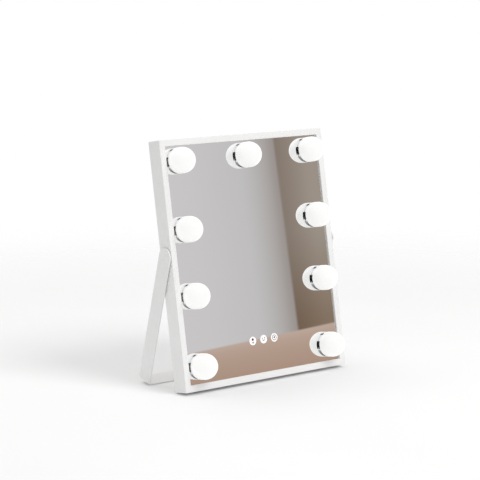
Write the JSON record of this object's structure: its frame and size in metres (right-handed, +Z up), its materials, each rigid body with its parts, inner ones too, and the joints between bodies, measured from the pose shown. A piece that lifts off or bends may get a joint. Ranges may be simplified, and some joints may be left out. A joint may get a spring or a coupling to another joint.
{
  "type": "lighted vanity mirror",
  "caption": "Upright rectangular tabletop mirror in a shallow white case, with domed lamps round its edge, touch controls and a folding strap stand.",
  "frame": {"origin": "on the surface that the mirror stands on, under the middle of the whole object with its stand opened", "axes": "+Z up, -Y the way the glass faces, X along the stand's hinge axis"},
  "size_m": [0.255, 0.1126, 0.2996],
  "materials": {
    "white_paint": "satin white powder coat",
    "cover_plastic": "fine-grained white moulding",
    "mirror": "silvered",
    "lamp_dome": "frosted, lit",
    "chrome": "polished plating",
    "lamp_plastic": "moulded",
    "led_board": "white solder mask",
    "circuit_board": "green solder mask",
    "backing_board": "pressed hardboard",
    "inlet_plastic": "moulded black",
    "wire": "satin sleeve",
    "nylon": "natural",
    "steel": "zinc plated",
    "screw_steel": "zinc plated",
    "silicone": "translucent grey"
  },
  "bodies": {
    "case": {"case_shell": "white_paint", "mirror_glass": "mirror", "backing_board": "backing_board", "back_cover": "cover_plastic", "cover_screw_1": "screw_steel", "cover_screw_2": "screw_steel", "cover_screw_3": "screw_steel", "cover_screw_4": "screw_steel", "lamp_dome_1": "lamp_dome", "lamp_dome_2": "lamp_dome", "lamp_dome_3": "lamp_dome", "lamp_dome_4": "lamp_dome", "lamp_dome_5": "lamp_dome", "lamp_dome_6": "lamp_dome", "lamp_dome_7": "lamp_dome", "lamp_dome_8": "lamp_dome", "lamp_dome_9": "lamp_dome", "lamp_collar_1": "chrome", "lamp_collar_2": "chrome", "lamp_collar_3": "chrome", "lamp_collar_4": "chrome", "lamp_collar_5": "chrome", "lamp_collar_6": "chrome", "lamp_collar_7": "chrome", "lamp_collar_8": "chrome", "lamp_collar_9": "chrome", "lamp_base_1": "lamp_plastic", "lamp_base_2": "lamp_plastic", "lamp_base_3": "lamp_plastic", "lamp_base_4": "lamp_plastic", "lamp_base_5": "lamp_plastic", "lamp_base_6": "lamp_plastic", "lamp_base_7": "lamp_plastic", "lamp_base_8": "lamp_plastic", "lamp_base_9": "lamp_plastic", "led_board_1": "led_board", "led_board_2": "led_board", "led_board_3": "led_board", "led_board_4": "led_board", "led_board_5": "led_board", "led_board_6": "led_board", "led_board_7": "led_board", "led_board_8": "led_board", "led_board_9": "led_board", "touch_board": "circuit_board", "control_board": "circuit_board", "power_inlet": "inlet_plastic", "lamp_wiring": "wire", "touch_wiring": "wire", "inlet_wiring": "wire", "case_foot_left": "silicone", "case_foot_right": "silicone", "pivot_bush_left": "nylon", "pivot_bush_right": "nylon"},
    "stand": {"stand_strap": "white_paint", "stand_foot_strip": "silicone", "pivot_stud_left": "steel", "pivot_stud_right": "steel", "stop_cam_left": "steel", "stop_cam_right": "steel"}
  },
  "joints": [
    {"name": "stand_hinge", "type": "hinge", "parent": "case", "child": "stand", "pos_m": [0, 0.0014, 0.16175], "axis": [1, 0, 0], "range_deg": [-25.63, 0]}
  ]
}
